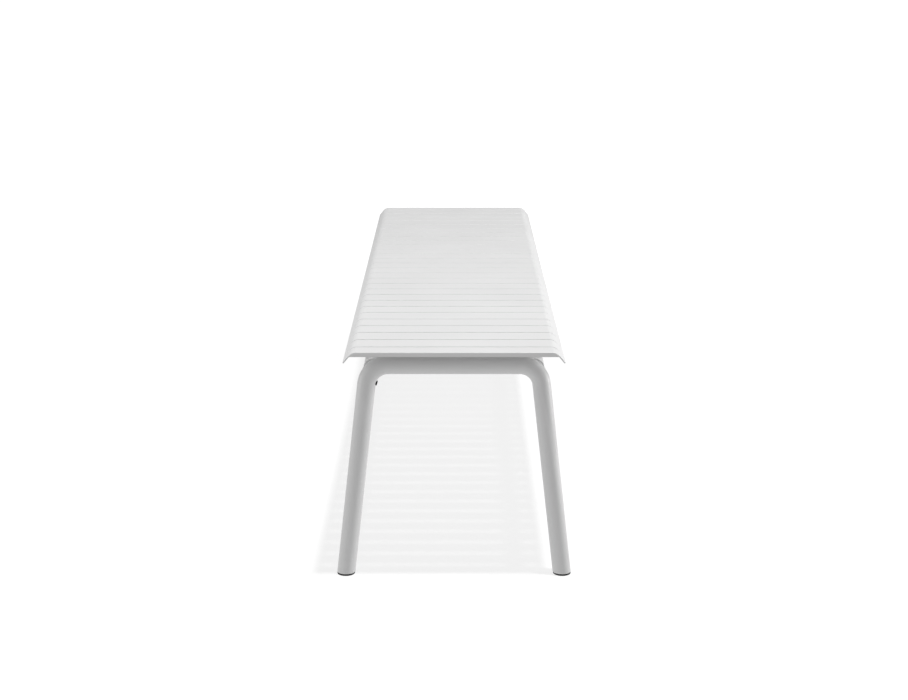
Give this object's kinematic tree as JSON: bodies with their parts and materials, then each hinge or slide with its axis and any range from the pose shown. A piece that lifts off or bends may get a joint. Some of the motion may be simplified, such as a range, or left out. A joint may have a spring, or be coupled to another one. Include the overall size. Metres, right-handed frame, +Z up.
{
  "type": "garden bench",
  "caption": "Backless white metal garden bench: a long slotted seat sheet with sloping side eaves on a round-tube frame with splayed legs and black foot glides.",
  "frame": {"origin": "on the floor, under the centre of the bench", "axes": "+Z up, Y along the bench with the front leg frame at -Y, +X to the right seen from the front end"},
  "size_m": [0.4544, 1.65, 0.45],
  "materials": {
    "powder_coat": "white powder coat, fine satin texture",
    "glide": "black moulded plastic, matt",
    "liner": "dark grey nylon strip, matt",
    "vent_rubber": "black rubber, matt",
    "stainless": "plain stainless steel"
  },
  "bodies": {
    "root": {"seat_panel": "powder_coat", "leg_frame_front": "powder_coat", "leg_frame_back": "powder_coat", "side_rail_right": "powder_coat", "side_rail_left": "powder_coat", "seat_bearer_1": "powder_coat", "seat_bearer_2": "powder_coat", "seat_bearer_3": "powder_coat", "seat_bearer_4": "powder_coat", "seat_bearer_5": "powder_coat", "saddle_liner_right_1": "liner", "saddle_liner_right_2": "liner", "saddle_liner_right_3": "liner", "saddle_liner_right_4": "liner", "saddle_liner_right_5": "liner", "saddle_liner_left_1": "liner", "saddle_liner_left_2": "liner", "saddle_liner_left_3": "liner", "saddle_liner_left_4": "liner", "saddle_liner_left_5": "liner", "foot_glide_front_right": "glide", "foot_glide_front_left": "glide", "foot_glide_back_left": "glide", "foot_glide_back_right": "glide", "vent_plug_front": "vent_rubber", "vent_plug_back": "vent_rubber", "seat_screws": "stainless", "seat_washers": "stainless", "press_nuts": "stainless"}
  },
  "joints": []
}
